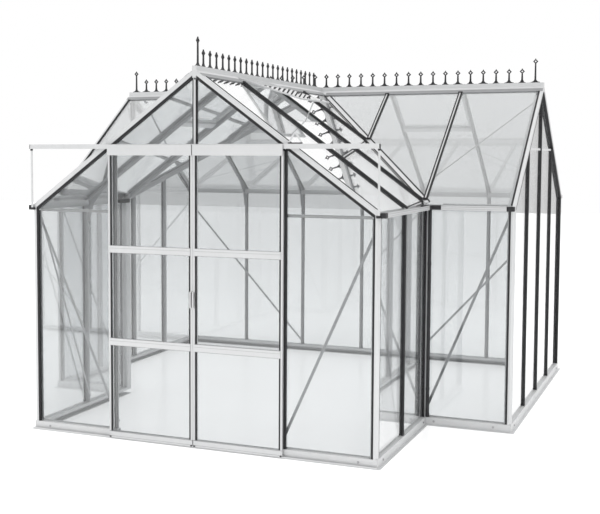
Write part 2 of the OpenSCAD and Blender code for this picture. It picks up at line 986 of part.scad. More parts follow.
module porch_side_glass() {
    color(clear) centred() both() porch_side() {
        wall_pane(end_edge, pitch - edge, pane_z, pane_top);
        wall_pane(pitch + edge, half - inner_edge, pane_z, pane_top);
    }
}

module notch_glass() {
    color(clear) centred() both() notch_wall()
        wall_pane(inner_edge, pitch - end_edge, pane_z, pane_top);
}

module wing_end_glass() {
    color(clear) centred() both() wing_end() under_gable(rake_edge) for (i = [0 : 3])
        wall_pane(i * pitch + (i == 0 ? end_edge : edge),
            (i + 1) * pitch - (i == 3 ? end_edge : edge), pane_z, ridge_bottom);
}

module back_glass() {
    color(clear) centred() back_wall() for (i = [0 : 5])
        wall_pane(i * pitch + (i == 0 ? end_edge : edge),
            (i + 1) * pitch - (i == 5 ? end_edge : edge), pane_z, pane_top);
}

// A roof pane on the porch's right slope from y = s0 to s1.
module roof_pane(s0, s1, u0, u1) {
    slope_layer(s0, s1, u0, u1, bed_v, bed_v + glass_v);
}

roof_u0 = ridge_half + pane_fit;
roof_u1 = half + roof_over;
gable_edge = -glass_out;

module porch_roof_glass() {
    color(clear) centred() both() {
        roof_pane(gable_edge, pitch - edge, roof_u0, roof_u1);
        porch_side_of_valley(valley_gap)
            roof_pane(pitch + edge, 2 * pitch - edge, vent_pane_u, roof_u1);
        porch_side_of_valley(valley_gap)
            roof_pane(2 * pitch + edge, 3 * pitch - edge, roof_u0, roof_u1);
        porch_side_of_valley(valley_gap)
            roof_pane(3 * pitch + edge, cross_y, roof_u0, roof_u1);
    }
}

module wing_roof_glass() {
    color(clear) centred() both() wing_front_slope_right() {
        roof_pane(edge, pitch - edge, roof_u0, roof_u1);
        roof_pane(pitch + edge, 2 * pitch - edge, roof_u0, roof_u1);
        roof_pane(2 * pitch + edge, wing - gable_edge, roof_u0, roof_u1);
    }
}

module wing_front_slope_right() {
    for (i = [0 : $children - 1])
        wing_side_of_valley(valley_gap) wing_front_slope() children(i);
}

module back_roof_glass() {
    color(clear) centred() wing_back_slope() for (i = [-3 : 2]) {
        s0 = i == -3 ? gable_edge - wing : i * pitch + edge;
        s1 = i == 2 ? wing - gable_edge : (i + 1) * pitch - edge;
        roof_pane(s0, s1, i == -2 || i == 1 ? vent_pane_u : roof_u0, roof_u1);
    }
}

// ---- Doors ----

module door_rail() {
    s0 = rail_mid - rail_slot / 2;
    s1 = rail_mid + rail_slot / 2;
    a = rail_in + rail_wall;
    b = rail_out - rail_wall;
    lip = rail_z + rail_wall;
    top = rail_z + rail_h;
    color(alu) centred() run(-rail_half, rail_half, [
        [rail_in, rail_z], [s0, rail_z], [s0, lip], [a, lip], [a, top - rail_wall],
        [b, top - rail_wall], [b, lip], [s1, lip], [s1, rail_z], [rail_out, rail_z],
        [rail_out, top], [rail_in, top]]);
}

// Blocks that hold the rail off the gable, and the thin struts under its ends.
module rail_supports() {
    bar_x = rail_half - 14;
    rake_x = (ridge_h - ridge_lift - rail_z) / slope - 36;
    color(alu) centred() {
        block(-16, 16, face_out, rail_in, rail_z + 4, header_top - 4);
        both() {
            block(rake_x, rake_x + 32, face_out, rail_in, rail_z + 4, rail_z + 22);
            block(bar_x, rail_half, rail_in, rail_in + 6, eave_h - 8, rail_z);
            block(bar_x - 8, rail_half, face_out, rail_in + 6, eave_h - 20, eave_h - 7);
        }
    }
}

module door_guide() {
    color(alu) centred()
        block(-rail_half, rail_half, leaf_mid - guide_t / 2, leaf_mid + guide_t / 2,
            base_sheet, leaf_lift + 2);
}

// A stile's section, with its outer edge at x = 0 and the pane to the right.
module stile() {
    translate([0, 0, foot_rail_top])
        linear_extrude(top_rail_z - foot_rail_top)
            polygon([
                [0, -leaf_in], [0, -leaf_out], [stile_edge, -leaf_out],
                [stile_edge, stile_step - leaf_out], [stile_w, stile_step - leaf_out],
                [stile_w, -leaf_in]]);
}

module leaf_stiles() {
    translate([leaf_x0, 0, 0]) stile();
    translate([leaf_x1, 0, 0]) mirror([1, 0, 0]) stile();
}

module leaf_mid_rail(z) {
    x0 = leaf_x0 + stile_w;
    x1 = leaf_x1 - stile_w;
    z0 = z - mid_rail_h / 2;
    block(x0, x1, leaf_in + 2, leaf_out + mid_proud, z0, z0 + mid_rail_h);
    block(x0 - stile_w / 2, x1 + stile_w / 2, leaf_out, leaf_out + mid_proud,
        z0, z0 + mid_rail_h);
}

module leaf_rails() {
    groove = guide_t / 2 + guide_clear;
    run(leaf_x0, leaf_x1, [
        [leaf_in, leaf_lift], [leaf_mid - groove, leaf_lift],
        [leaf_mid - groove, leaf_lift + 2 + guide_clear],
        [leaf_mid + groove, leaf_lift + 2 + guide_clear], [leaf_mid + groove, leaf_lift],
        [leaf_out, leaf_lift], [leaf_out, foot_rail_top], [leaf_in, foot_rail_top]]);
    leaf_mid_rail(mid_low_z);
    leaf_mid_rail(mid_high_z);
    run(leaf_x0, leaf_x1, [
        [leaf_in, top_rail_z], [fascia_out, top_rail_z], [fascia_out, top_rail_z + fascia_h],
        [fascia_in, top_rail_z + fascia_h], [fascia_in, top_rail_z + 6],
        [leaf_out, top_rail_z + 6], [leaf_out, leaf_top], [leaf_in, leaf_top]]);
}

module leaf_glass() {
    x0 = leaf_x0 + stile_w + pane_fit;
    x1 = leaf_x1 - stile_w - pane_fit;
    n0 = leaf_mid - glass_t / 2;
    r = mid_rail_h / 2 + pane_fit;
    block(x0, x1, n0, n0 + glass_t, foot_rail_top + pane_fit, mid_low_z - r);
    block(x0, x1, n0, n0 + glass_t, mid_low_z + r, mid_high_z - r);
    block(x0, x1, n0, n0 + glass_t, mid_high_z + r, top_rail_z - pane_fit);
}

// A plain pull: a bar on two feet.
module leaf_handle() {
    x0 = leaf_x0 + 1;
    z0 = handle_z - handle_l / 2;
    block(x0, x0 + 12, leaf_out + 13, handle_out, z0, z0 + handle_l);
    for (z = [z0, z0 + handle_l - 14]) block(x0, x0 + 12, leaf_out, handle_out - 2, z, z + 14);
}

module leaf_rollers() {
    for (x = [leaf_x0 + 90, leaf_x1 - 90]) {
        block(x - 14, x + 14, rail_mid - 2, rail_mid + 2, leaf_top, roller_z);
        translate([x, -rail_mid, roller_z])
            rotate([90, 0, 0])
                cylinder(r = roller_r, h = 11, center = true);
    }
}

module right_door_stiles() {
    color(alu) centred() leaf_stiles();
}

module right_door_rails() {
    color(alu) centred() leaf_rails();
}

module right_door_glass() {
    color(clear) centred() leaf_glass();
}

module right_door_handle() {
    color(alu) centred() leaf_handle();
}

module right_door_rollers() {
    color(black) centred() leaf_rollers();
}

module left_door_stiles() {
    mirror([1, 0, 0]) right_door_stiles();
}

module left_door_rails() {
    mirror([1, 0, 0]) right_door_rails();
}

module left_door_glass() {
    mirror([1, 0, 0]) right_door_glass();
}

module left_door_handle() {
    mirror([1, 0, 0]) right_door_handle();
}

module left_door_rollers() {
    mirror([1, 0, 0]) right_door_rollers();
}

base_front();
base_sides();
base_notches();
base_back();
sills();
corner_posts();
door_jambs();
door_header();
front_gable_bars();
porch_side_bars();
wing_end_bars();
back_wall_bars();
gutters();
gutter_caps();
downpipes();
front_rakes();
wing_rakes();
porch_ridge();
cross_ridge();
valley_bars();
porch_rafters();
wing_rafters();
back_rafters();
knee_plates();
wall_braces();
roof_straps();
end_ties();
vent_sills();
vent_frames();
vent_glass();
vent_stay();
ridge_cresting();
gable_finials();
front_glass();
porch_side_glass();
notch_glass();
wing_end_glass();
back_glass();
porch_roof_glass();
wing_roof_glass();
back_roof_glass();
door_rail();
rail_supports();
door_guide();
left_door_stiles();
left_door_rails();
left_door_glass();
left_door_handle();
left_door_rollers();
right_door_stiles();
right_door_rails();
right_door_glass();
right_door_handle();
right_door_rollers();
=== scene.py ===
import bpy, bmesh, json
from math import radians, atan, cos, sin, sqrt, pi, floor
from mathutils import Matrix, Vector

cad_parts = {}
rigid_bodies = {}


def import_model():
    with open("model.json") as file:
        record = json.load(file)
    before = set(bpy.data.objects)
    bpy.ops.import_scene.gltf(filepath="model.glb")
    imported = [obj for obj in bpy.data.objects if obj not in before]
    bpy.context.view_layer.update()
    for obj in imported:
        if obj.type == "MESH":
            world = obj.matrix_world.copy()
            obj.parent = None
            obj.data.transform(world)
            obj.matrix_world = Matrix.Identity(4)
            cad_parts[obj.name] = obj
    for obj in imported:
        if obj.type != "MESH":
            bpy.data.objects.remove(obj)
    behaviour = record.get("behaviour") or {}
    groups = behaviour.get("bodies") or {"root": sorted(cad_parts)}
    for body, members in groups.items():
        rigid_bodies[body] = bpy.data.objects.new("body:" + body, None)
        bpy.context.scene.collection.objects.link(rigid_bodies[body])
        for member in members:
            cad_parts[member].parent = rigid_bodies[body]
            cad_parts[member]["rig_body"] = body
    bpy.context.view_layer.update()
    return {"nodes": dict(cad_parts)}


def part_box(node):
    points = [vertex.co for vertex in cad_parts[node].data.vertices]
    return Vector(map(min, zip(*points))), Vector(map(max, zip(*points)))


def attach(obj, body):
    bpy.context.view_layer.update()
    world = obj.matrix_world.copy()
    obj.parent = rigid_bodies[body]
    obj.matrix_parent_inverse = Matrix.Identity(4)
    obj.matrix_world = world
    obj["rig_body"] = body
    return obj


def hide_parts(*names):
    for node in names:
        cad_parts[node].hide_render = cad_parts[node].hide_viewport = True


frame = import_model()
nodes = frame["nodes"]
print("frame loaded:", len(nodes), "nodes")

# sizes of the real house, in metres, the same ones the solids are built from
house = {
    "pitch": 0.622, "eave": 1.608, "ridgeTop": 2.568, "ridgeLift": 0.030,
    "faceOut": 0.038, "glassIn": 0.012, "glassThick": 0.004, "gutterOut": 0.074,
    "gutterDeep": 0.021, "gutterLip": 0.011, "sillTop": 0.061, "baseHigh": 0.058,
    "rakeUnder": 0.025, "railUnder": 2.018, "railHigh": 0.032,
    "leafWide": 0.643, "leafGap": 0.006, "leafOut": 0.066,
    "pipeAcross": 0.056, "pipeOut": 0.053, "webIn": 0.020, "fascia": 0.075, "spacer": 0.0003,
}
pitch = house["pitch"]
half, wing, crossY, backY = 2 * pitch, 3 * pitch, 4 * pitch, 6 * pitch
glassOut = house["glassIn"] + house["glassThick"]
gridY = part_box("door_header")[0].y + house["faceOut"]  # the front grid line
apex = house["ridgeTop"] - house["ridgeLift"]
slope = (apex - house["eave"]) / (half + house["faceOut"])
lean = sqrt(1 + slope * slope)
tilt = atan(slope)
gutterUnder = house["eave"] - house["gutterDeep"]
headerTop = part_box("door_header")[1].z


def under(u):
    # height of the roof glass's underside, u away from the ridge
    return apex - slope * u


# places: across the panel, along it (up a wall, down a roof) and outwards

def panel(origin, across, along, out):
    turned = Matrix((across, along, out)).transposed().to_4x4()
    return Matrix.Translation(Vector(origin) + Vector((0, gridY, 0))) @ turned


upright = (0, 0, 1)
walls = {
    "front": panel((-half, 0, 0), (1, 0, 0), upright, (0, -1, 0)),
    "porchRight": panel((half, 0, 0), (0, 1, 0), upright, (1, 0, 0)),
    "porchLeft": panel((-half, 0, 0), (0, 1, 0), upright, (-1, 0, 0)),
    "notchRight": panel((half, half, 0), (1, 0, 0), upright, (0, -1, 0)),
    "notchLeft": panel((-half, half, 0), (-1, 0, 0), upright, (0, -1, 0)),
    "endRight": panel((wing, half, 0), (0, 1, 0), upright, (1, 0, 0)),
    "endLeft": panel((-wing, half, 0), (0, 1, 0), upright, (-1, 0, 0)),
    "back": panel((wing, backY, 0), (-1, 0, 0), upright, (0, 1, 0)),
}
run, rise = cos(tilt), sin(tilt)
roofs = {
    "porchRight": panel((0, 0, apex), (0, 1, 0), (run, 0, -rise), (rise, 0, run)),
    "porchLeft": panel((0, 0, apex), (0, 1, 0), (-run, 0, -rise), (-rise, 0, run)),
    "wingFront": panel((0, crossY, apex), (1, 0, 0), (0, -run, -rise), (0, -rise, run)),
    "wingBack": panel((0, crossY, apex), (1, 0, 0), (0, run, -rise), (0, rise, run)),
}

# shader helpers

class Wire:
    # one socket, so that sums of masks read as plain arithmetic
    def __init__(self, finish, socket):
        self.finish = finish
        self.socket = socket

    def sum(self, operation, first, second):
        return self.finish.node("ShaderNodeMath", {"operation": operation}, {0: first, 1: second})

    def __add__(self, other):
        return self.sum("ADD", self, other)

    def __radd__(self, other):
        return self.sum("ADD", other, self)

    def __sub__(self, other):
        return self.sum("SUBTRACT", self, other)

    def __rsub__(self, other):
        return self.sum("SUBTRACT", other, self)

    def __mul__(self, other):
        return self.sum("MULTIPLY", self, other)

    def __rmul__(self, other):
        return self.sum("MULTIPLY", other, self)

    def __pow__(self, other):
        return self.sum("POWER", self, other)


class Finish:
    def __init__(self, owner):
        # owner is a material or a world
        self.owner = owner
        owner.use_nodes = True
        self.tree = owner.node_tree
        self.tree.nodes.clear()

    def node(self, kind, settings=None, values=None, output=0):
        made = self.tree.nodes.new(kind)
        for key, value in (settings or {}).items():
            if key == "stops":
                ramp = made.color_ramp.elements
                while len(ramp) < len(value):
                    ramp.new(0.5)
                for stop, (place, tone) in zip(ramp, value):
                    stop.position = place
                    stop.color = (*tone, 1)
            else:
                setattr(made, key, value)
        for key, value in (values or {}).items():
            socket = made.inputs[key]
            if isinstance(value, Wire):
                self.tree.links.new(value.socket, socket)
            else:
                socket.default_value = value
        return Wire(self, made.outputs[output]) if made.outputs else None

    def noise(self, scale, detail=3.0):
        spot = self.node("ShaderNodeTexCoord", output=3)
        return self.node("ShaderNodeTexNoise", {}, {
            "Vector": spot, "Scale": scale, "Detail": detail, "Roughness": 0.55})

    def blend(self, factor, first, second):
        return self.node("ShaderNodeMix", {"data_type": "RGBA"}, {0: factor, 6: first, 7: second},
                         output=2)

    def close(self, shader):
        self.node("ShaderNodeOutputMaterial", {}, {"Surface": shader})
        return self.owner


def newFinish(name):
    return Finish(bpy.data.materials.new(name))


def rgb(r, g, b):
    return (r, g, b, 1.0)


def metalFinish(name, dull, bright, rough, grain, metal):
    f = newFinish(name)
    cloud = f.noise(2.3, 4.0)
    fine = f.noise(grain, 3.0)
    speck = f.noise(grain * 9, 2.0)
    tone = f.blend(cloud * 0.6 + fine * 0.4, rgb(*dull), rgb(*bright))
    bump = f.node("ShaderNodeBump", {}, {"Strength": 0.06, "Distance": 0.0004,
                                         "Height": fine * 0.5 + speck * 0.5})
    return f.close(f.node("ShaderNodeBsdfPrincipled", {}, {
        "Base Color": tone, "Metallic": metal, "Roughness": rough + 0.16 * fine, "Normal": bump}))


def rubberFinish(name, dark, worn, rough):
    f = newFinish(name)
    cloud = f.noise(7.0, 4.0)
    fine = f.noise(240.0, 3.0)
    tone = f.blend(cloud * 0.7 + fine * 0.3, rgb(*dark), rgb(*worn))
    bump = f.node("ShaderNodeBump", {}, {"Strength": 0.12, "Distance": 0.0005, "Height": fine})
    return f.close(f.node("ShaderNodeBsdfPrincipled", {}, {
        "Base Color": tone, "Roughness": rough + 0.15 * cloud, "Specular IOR Level": 0.35,
        "Normal": bump}))


def glassFinish(name, tint, gloss, power):
    f = newFinish(name)
    edge = f.node("ShaderNodeLayerWeight", {}, {"Blend": 0.5}, output=1)
    film = f.noise(1.4, 2.0)
    clear = f.node("ShaderNodeBsdfTransparent", {}, {"Color": rgb(*tint)})
    shine = f.node("ShaderNodeBsdfGlossy", {}, {"Color": rgb(1, 1, 1), "Roughness": 0.0})
    mask = gloss + (1 - gloss) * edge ** power + 0.012 * film
    return f.close(f.node("ShaderNodeMixShader", {}, {0: mask, 1: clear, 2: shine}))


finishes = {
    "satin": metalFinish("satin_aluminium", (0.56, 0.565, 0.57), (0.68, 0.685, 0.69), 0.36, 46.0, 0.5),
    # the bar finish is a darker copy of the aluminium for the bars inside the house: painted shade for
    # the darker inside
    "bar": metalFinish("inner_painted_shade_aluminium", (0.40, 0.405, 0.41), (0.52, 0.525, 0.53), 0.38, 60.0, 0.7),
    # the shade finish is a dark aluminium that paints shade: the groove lines on the doors and gutters,
    # and the ridge strips
    "shade": metalFinish("painted_shade_aluminium", (0.26, 0.265, 0.27), (0.34, 0.345, 0.35), 0.40, 60.0, 0.6),
    "steel": metalFinish("galvanised_steel", (0.57, 0.575, 0.58), (0.69, 0.695, 0.70), 0.42, 18.0, 0.35),
    "bolt": metalFinish("zinc_bolts", (0.34, 0.34, 0.35), (0.50, 0.50, 0.51), 0.28, 120.0, 0.9),
    "rubber": rubberFinish("glazing_rubber", (0.012, 0.012, 0.013), (0.024, 0.024, 0.026), 0.50),
    "greyRubber": rubberFinish("grey_rubber", (0.10, 0.10, 0.105), (0.16, 0.16, 0.165), 0.5),
    "plastic": rubberFinish("black_plastic", (0.014, 0.014, 0.015), (0.030, 0.030, 0.033), 0.42),
    "glass": glassFinish("clear_glass", (0.850, 0.857, 0.860), 0.035, 2.2),
    "roofGlass": glassFinish("porch_roof_glass", (0.900, 0.905, 0.908), 0.035, 1.5),
}
print("finishes made:", len(finishes))

# modelling helpers

def easeEdges(bm, edges, offset, segments=2):
    if edges and offset:
        bmesh.ops.bevel(bm, geom=edges, offset=offset, offset_type="OFFSET", affect="EDGES",
                        segments=segments, profile=0.5, material=-1, clamp_overlap=True)


def block(bm, low, high, place, ease=0.0, segments=2):
    # a block between two corners, with its edges eased
    made = bmesh.ops.create_cube(bm, size=1.0)["verts"]
    size = [b - a for a, b in zip(low, high)]
    middle = [(a + b) / 2 for a, b in zip(low, high)]
    bmesh.ops.scale(bm, verts=made, vec=size)
    bmesh.ops.translate(bm, verts=made, vec=middle)
    bmesh.ops.transform(bm, verts=made, matrix=place)
    easeEdges(bm, list({e for v in made for e in v.link_edges}), ease, segments)


def strip(bm, section, start, end, place):
    # a section drawn as (across, out), run along the panel
    ring = [bm.verts.new((a, start, o)) for a, o in section]
    face = bm.faces.new(ring)
    grown = bmesh.ops.extrude_face_region(bm, geom=[face])["geom"]
    moved = [v for v in grown if isinstance(v, bmesh.types.BMVert)]
    bmesh.ops.translate(bm, verts=moved, vec=(0, end - start, 0))
    bmesh.ops.transform(bm, verts=ring + moved, matrix=place)


def rod(bm, radius, depth, place, segments=12, ease=0.0):
    # a round or many-sided bar standing on the panel
    made = bmesh.ops.create_cone(bm, cap_ends=True, segments=segments, radius1=radius,
                                 radius2=radius, depth=depth)["verts"]
    bmesh.ops.translate(bm, verts=made, vec=(0, 0, depth / 2))
    bmesh.ops.transform(bm, verts=made, matrix=place)
    if ease:
        rim = [e for e in {e for v in made for e in v.link_edges}
               if any(len(f.verts) > 4 for f in e.link_faces)]
        easeEdges(bm, rim, ease, 1)


def piece(name, bm, finish, body="greenhouse", replaced=()):
    bmesh.ops.recalc_face_normals(bm, faces=bm.faces)
    mesh = bpy.data.meshes.new(name)
    bm.to_mesh(mesh)
    bm.free()
    mesh.materials.append(finishes[finish])
    made = bpy.data.objects.new(name, mesh)
    bpy.context.scene.collection.objects.link(made)
    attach(made, body)
    if replaced:
        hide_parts(*replaced)
    return made


easing = {"usual": 0.0009, "merge": 0.00002, "flat": 1, "sharp": 25}  # metres, then degrees


def eased(nodeName, finish, offset):
    # a merged copy of a solid with its sharp edges eased
    node = nodes[nodeName]
    bm = bmesh.new()
    bm.from_mesh(node.data)
    bmesh.ops.remove_doubles(bm, verts=bm.verts, dist=easing["merge"])
    flat, sharp = radians(easing["flat"]), radians(easing["sharp"])
    bmesh.ops.dissolve_limit(bm, angle_limit=flat, verts=bm.verts, edges=bm.edges)
    edges = [e for e in bm.edges if len(e.link_faces) == 2 and e.calc_face_angle(0) > sharp]
    easeEdges(bm, edges, offset)
    return piece(nodeName + "_eased", bm, finish, node["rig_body"], [nodeName])


# solids that keep their shape

kept = {
    "satin": ["sills", "corner_posts", "door_header", "gutters", "front_rakes", "wing_rakes",
              "porch_ridge", "cross_ridge", "end_ties", "vent_frames", "vent_stay", "vent_sills",
              "door_rail", "rail_supports", "door_guide", "left_door_stiles", "left_door_rails",
              "right_door_stiles", "right_door_rails", "left_door_handle", "right_door_handle"],
    "bar": ["door_jambs", "front_gable_bars", "porch_side_bars", "wing_end_bars",
            "back_wall_bars", "valley_bars", "porch_rafters", "wing_rafters", "back_rafters",
            "knee_plates", "wall_braces", "roof_straps"],
    "steel": ["base_front", "base_sides", "base_notches", "base_back"],
    "plastic": ["gutter_caps", "downpipes", "left_door_rollers", "right_door_rollers"],
}
roundings = {"gutter_caps": 0.004, "left_door_handle": 0.004, "right_door_handle": 0.004,
             "left_door_rails": 0.0014, "right_door_rails": 0.0014, "corner_posts": 0.0014,
             "downpipes": 0.0008, "base_front": 0.0016, "base_sides": 0.0016,
             "base_notches": 0.0016, "base_back": 0.0016}
for finish, names in kept.items():
    for name in names:
        eased(name, finish, roundings.get(name, easing["usual"]))
for name, node in nodes.items():
    if "glass" in name:
        node.data.materials.clear()
        clearer = name == "porch_roof_glass"
        node.data.materials.append(finishes["roofGlass" if clearer else "glass"])
print("solids finished")

# glazing covers over the bars: a light rib between two black seals

glazing = {
    "rib": 0.0052, "wide": 0.0172, "ribProud": 0.0100, "proud": 0.0135, "ease": 0.003,
    "gap": 0.0004, "sunk": 0.0003, "frontRib": 0.0085, "frontProud": 0.0200,
    "underApex": 0.062, "underRake": 0.046, "underRidge": 0.014, "skirt": 0.0675,
    "pastEaves": 0.030, "besideValley": 0.022, "aboveSill": 0.003, "belowGutter": 0.001,
    "capOver": 0.0006, "capLow": 0.0002, "capEase": 0.002,
}


def coverSections(rib, wide, ribProud, proud, ease):
    inner = rib + glazing["gap"]
    seal = [(inner, 0), (wide, 0), (wide, proud * 0.45), (wide - ease * 1.4, proud),
            (inner + ease * 0.6, proud), (inner, proud - ease)]
    soft = ease * 0.4
    core = [(-rib, -glazing["sunk"]), (rib, -glazing["sunk"]), (rib, ribProud - soft),
            (rib - soft, ribProud), (soft - rib, ribProud), (-rib, ribProud - soft)]
    return seal, core


def barLines():
    # every bar as panel, distance across, start, end and height of the glass face
    g = glazing
    lines = []
    foot, top = house["sillTop"] + g["aboveSill"], gutterUnder - g["belowGutter"]
    for name in ("porchRight", "porchLeft"):
        lines.append((walls[name], pitch, foot, top, glassOut))
    for i in range(1, 6):
        lines.append((walls["back"], i * pitch, foot, top, glassOut))
    for name in ("endRight", "endLeft"):
        for i in (1, 2, 3):
            away = abs(i - 2) * pitch
            high = under(away) - g["underRake"] - slope * g["wide"] - g["underRidge"] * (i == 2)
            lines.append((walls[name], i * pitch, foot, high, glassOut))
    start = g["skirt"] * lean
    eaves = (half + g["pastEaves"]) * lean
    thick = house["glassThick"] + house["spacer"]
    for name in ("porchRight", "porchLeft"):
        for i in (1, 2, 3):
            stop = min(eaves, (crossY - i * pitch - g["besideValley"]) * lean)
            lines.append((roofs[name], i * pitch, start, stop, thick))
    for i in (-2, -1, 1, 2):
        stop = min(eaves, (abs(i) * pitch - g["besideValley"]) * lean)
        lines.append((roofs["wingFront"], i * pitch, start, stop, thick))
    for i in range(-2, 3):
        lines.append((roofs["wingBack"], i * pitch, start, eaves, thick))
    return lines


def sealedBar(rubber, ribs, sections, start, end, ribEnd, here):
    seal, core = sections
    strip(rubber, seal, start, end, here)
    strip(rubber, [(-a, o) for a, o in seal], start, end, here)
    strip(ribs, core, start, ribEnd, here)


def endCap(bm, start, end, proud, here):
    g = glazing
    reach = g["wide"] + g["capOver"]
    block(bm, (-reach, start, g["capLow"]), (reach, end, proud), here, g["capEase"])


def glazingCovers():
    g = glazing
    rubber, ribs, ends = bmesh.new(), bmesh.new(), bmesh.new()
    sections = coverSections(g["rib"], g["wide"], g["ribProud"], g["proud"], g["ease"])
    for place, across, start, end, out in barLines():
        here = place @ Matrix.Translation((across, 0, out))
        sealedBar(rubber, ribs, sections, start, end, end - 0.001, here)
        endCap(ends, start - 0.004, start + 0.010, g["proud"] + 0.0016, here)
        endCap(ends, end - 0.008, end + 0.003, g["proud"] + 0.0012, here)
    sections = coverSections(g["frontRib"], g["wide"], g["frontProud"] * 0.8, g["frontProud"],
                             g["ease"])
    here = walls["front"] @ Matrix.Translation((half, 0, glassOut))
    low, high = headerTop + 0.001, under(0) - g["underApex"]
    sealedBar(rubber, ribs, sections, low, high, high, here)
    piece("bar_seals", rubber, "rubber")
    piece("bar_ribs", ribs, "satin")
    piece("bar_seal_ends", ends, "plastic")


glazingCovers()
print("glazing covers made")

# black seals beside the posts and under the rakes

seals = {
    "over": 0.0074, "in": 0.0060, "proud": 0.0365, "ease": 0.002, "innerWide": 0.012,
    "innerProud": 0.030, "jambFrom": 0.6365, "jambTo": 0.6600, "jambProud": 0.0375,
    "underRake": 0.020, "rakeDeep": 0.023, "gableIn": 0.012, "gableWide": 0.0118,
    "gableProud": 0.0135, "skirt": 0.068, "pastEaves": 0.020,
}


def postSeals():
    z0, z1 = house["baseHigh"] + 0.001, gutterUnder - 0.001
    face, spacer, wide = house["faceOut"], house["spacer"], seals["innerWide"]
    bm = bmesh.new()

    def upstand(place, low, high, out, top=z1):
        block(bm, (low, z0, glassOut + spacer), (high, top, out), place, seals["ease"])

    o, i = seals["over"], seals["in"]
    for name, length in (("front", 2 * half), ("endRight", 2 * half), ("endLeft", 2 * half),
                         ("back", 2 * wing)):
        upstand(walls[name], -o, i, seals["proud"])
        upstand(walls[name], length - i, length + o, seals["proud"])
    for name in ("porchRight", "porchLeft"):
        upstand(walls[name], -o, i, seals["proud"])
        upstand(walls[name], half - face - wide, half - face - spacer, seals["innerProud"])
    for name in ("notchRight", "notchLeft"):
        upstand(walls[name], face + spacer, face + wide, seals["innerProud"])
        upstand(walls[name], pitch - i, pitch + o, seals["proud"])
    jamb = under(seals["jambTo"]) - house["rakeUnder"] - seals["underRake"]
    for side in (-1, 1):
        a, b = sorted((half + side * seals["jambFrom"], half + side * seals["jambTo"]))
        upstand(walls["front"], a, b, seals["jambProud"], jamb)
    piece("post_seals", bm, "rubber")


def slantedSeal(bm, place, u0, u1, drop, deep, low, high):
    # a strip that follows a gable's slope, drop below the glass underside
    ring = [bm.verts.new((u, under(u) - d, low))
            for u, d in ((u0, drop), (u1, drop), (u1, drop + deep), (u0, drop + deep))]
    grown = bmesh.ops.extrude_face_region(bm, geom=[bm.faces.new(ring)])["geom"]
    moved = [v for v in grown if isinstance(v, bmesh.types.BMVert)]
    bmesh.ops.translate(bm, verts=moved, vec=(0, 0, high - low))
    bmesh.ops.transform(bm, verts=ring + moved, matrix=place)


def rakeSeals():
    bm = bmesh.new()
    mirrored = Matrix.Scale(-1, 4, (1, 0, 0))
    for name in ("front", "endRight", "endLeft"):
        middle = walls[name] @ Matrix.Translation((half, 0, 0))
        for place in (middle, middle @ mirrored):
            slantedSeal(bm, place, glazing["wide"] + 0.0005, half + seals["over"],
                        house["rakeUnder"] + 0.0004, seals["rakeDeep"],
                        glassOut + house["spacer"], seals["proud"])
    edge, thick = glassOut - seals["gableIn"], house["glassThick"] + 0.0006
    top, foot = seals["skirt"] * lean, (half + seals["pastEaves"]) * lean
    for name, ends in (("porchRight", (0,)), ("porchLeft", (0,)), ("wingFront", (-wing, wing)),
                       ("wingBack", (-wing, wing))):
        for end in ends:
            k = 1 if end > 0 else -1
            a, b = sorted((end + k * edge, end + k * (edge + seals["gableWide"])))
            block(bm, (a, top, thick), (b, foot, seals["gableProud"]), roofs[name], seals["ease"])
    piece("rake_seals", bm, "rubber")


postSeals()
rakeSeals()
print("seals made")

# ridges: a dark grey strip along each skirt's lower part, the ridge's inner web drawn on the glass in
# painted shade, and the valley covers

ridges = {"from": 0.036, "to": 0.0672, "low": 0.0052, "high": 0.0106, "thick": 0.0030,
          "lip": 0.004, "pastGable": 0.0375, "beside": 0.068, "ease": 0.0008,
          "vent": (pitch - 0.012 + 0.006) / 2 + 0.004}  # half of what a vent takes


def ridgeStrips():
    bm = bmesh.new()
    r = ridges
    vent, side, end = r["vent"], 1.5 * pitch, wing + r["pastGable"]
    porch = [(-r["pastGable"], side - vent), (side + vent, crossY - r["beside"])]
    spans = {"porchRight": porch,
             "wingFront": [(-end, -r["beside"]), (r["beside"], end)],
             "wingBack": [(-end, -side - vent), (vent - side, side - vent), (side + vent, end)],
             "porchLeft": porch}
    for name, parts in spans.items():
        for a, b in parts:
            block(bm, (a, r["from"] * lean, r["high"] - r["thick"]),
                  (b, r["to"] * lean, r["high"]), roofs[name], r["ease"])
            block(bm, (a, r["to"] * lean - 0.001, r["low"]),
                  (b, r["to"] * lean + r["lip"], r["high"]), roofs[name], r["ease"])
    # the strips take the shade finish: painted shade for the ridge's shaded inner web
    piece("ridge_painted_shade_strips", bm, "shade")


valleys = {"top": 0.090, "foot": 0.012, "wide": 0.026, "lift": 0.006,
           "fold": ((-1, 0.011), (0, -0.003), (1, 0.011), (1, 0.0135), (0, 0.0), (-1, 0.0135)),
           "edgeIn": 0.004, "edgeOut": 0.007, "edgeHeights": (0.0110, 0.0150, 0.0225, 0.0205)}


def valleyCovers():
    # a pale folded strip down each valley between two dark edges
    v = valleys
    pale, dark = bmesh.new(), bmesh.new()
    reach = half + v["foot"]
    low, lowOut, highOut, high = v["edgeHeights"]
    a, b = v["wide"] - v["edgeIn"], v["wide"] + v["edgeOut"]
    for side in (-1, 1):
        top = Vector((side * v["top"], crossY - v["top"], under(v["top"])))
        foot = Vector((side * reach, crossY - reach, under(reach)))
        along = (foot - top).normalized()
        across = along.cross(Vector((0, 0, 1))).normalized()
        place = panel(top, across, along, across.cross(along))
        length = (foot - top).length
        strip(pale, [(k * v["wide"], o + v["lift"]) for k, o in v["fold"]], 0, length, place)
        for k in (-1, 1):
            edge = [(k * a, low), (k * b, lowOut), (k * b, highOut), (k * a, high)]
            strip(dark, edge[::k], 0, length, place)
    piece("valley_covers", pale, "satin")
    piece("valley_seals", dark, "rubber")


ridgeStrips()
valleyCovers()
print("ridges and valleys made")

# cresting: open diamond heads on stems with flared feet

